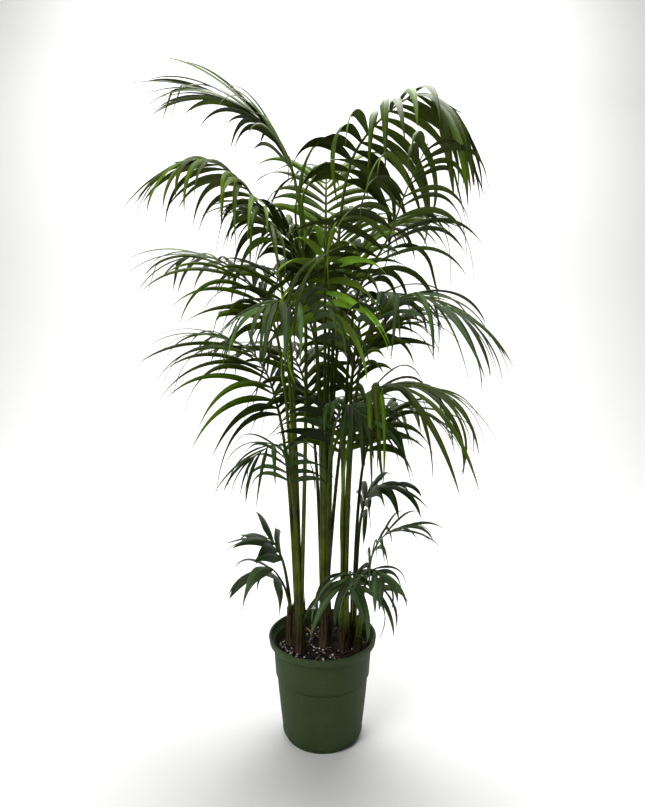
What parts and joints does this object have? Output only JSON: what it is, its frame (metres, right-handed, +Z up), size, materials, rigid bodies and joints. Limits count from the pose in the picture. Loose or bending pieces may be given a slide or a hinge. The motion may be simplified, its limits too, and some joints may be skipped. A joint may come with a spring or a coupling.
{
  "type": "potted kentia palm",
  "caption": "Potted kentia palm: slender stems growing from soil in a tapered nursery pot, with long upright stalks that carry arching feather-shaped fronds.",
  "frame": {"origin": "centre of the pot's flat underside, where it stands on the floor", "axes": "+Z up along the pot's axis, +Y to the plant's back, +X to its right seen from the front"},
  "size_m": [0.9167, 0.6728, 1.6242],
  "materials": {
    "pot_plastic": "dark green moulded plastic, satin, lightly scuffed",
    "potting_soil": "damp dark potting mix with bark, white perlite and dry leaf scraps",
    "stem_fibre": "green ringed stem wrapped in dry brown fibrous sheaths",
    "mature_leaf": "dark green waxy leaf, satin, with fine lengthwise veins and olive stalks",
    "new_leaf": "bright light green young leaf, satin, with fine lengthwise veins",
    "young_leaf": "grey-green broad juvenile leaf, satin, with fine lengthwise veins"
  },
  "bodies": {
    "root": {"nursery_pot": "pot_plastic", "soil": "potting_soil", "stem_left": "stem_fibre", "stem_middle": "stem_fibre", "stem_right": "stem_fibre", "stem_back": "stem_fibre", "stem_outer": "stem_fibre", "stem_sprout": "stem_fibre", "stem_shoot": "stem_fibre", "frond_left_top": "mature_leaf", "frond_left_upper": "mature_leaf", "frond_left_middle": "mature_leaf", "frond_left_lower": "mature_leaf", "frond_left_small": "mature_leaf", "frond_right_top": "mature_leaf", "frond_right_tall": "mature_leaf", "frond_front_left": "mature_leaf", "frond_front_right": "mature_leaf", "frond_new_middle": "new_leaf", "frond_right_middle": "mature_leaf", "frond_right_lower": "mature_leaf", "frond_outer_low": "mature_leaf", "frond_left_back": "mature_leaf", "frond_back_top": "mature_leaf", "frond_back_left": "mature_leaf", "frond_back_high": "mature_leaf", "frond_back_centre": "mature_leaf", "frond_back_side": "mature_leaf", "frond_back_fan": "mature_leaf", "frond_front_low": "mature_leaf", "frond_back_right": "mature_leaf", "frond_back_low": "mature_leaf", "frond_young_right": "mature_leaf", "frond_young_front": "young_leaf", "frond_young_far": "young_leaf", "frond_young_outer": "young_leaf", "frond_young_left": "young_leaf", "frond_young_back": "mature_leaf"}
  },
  "joints": []
}
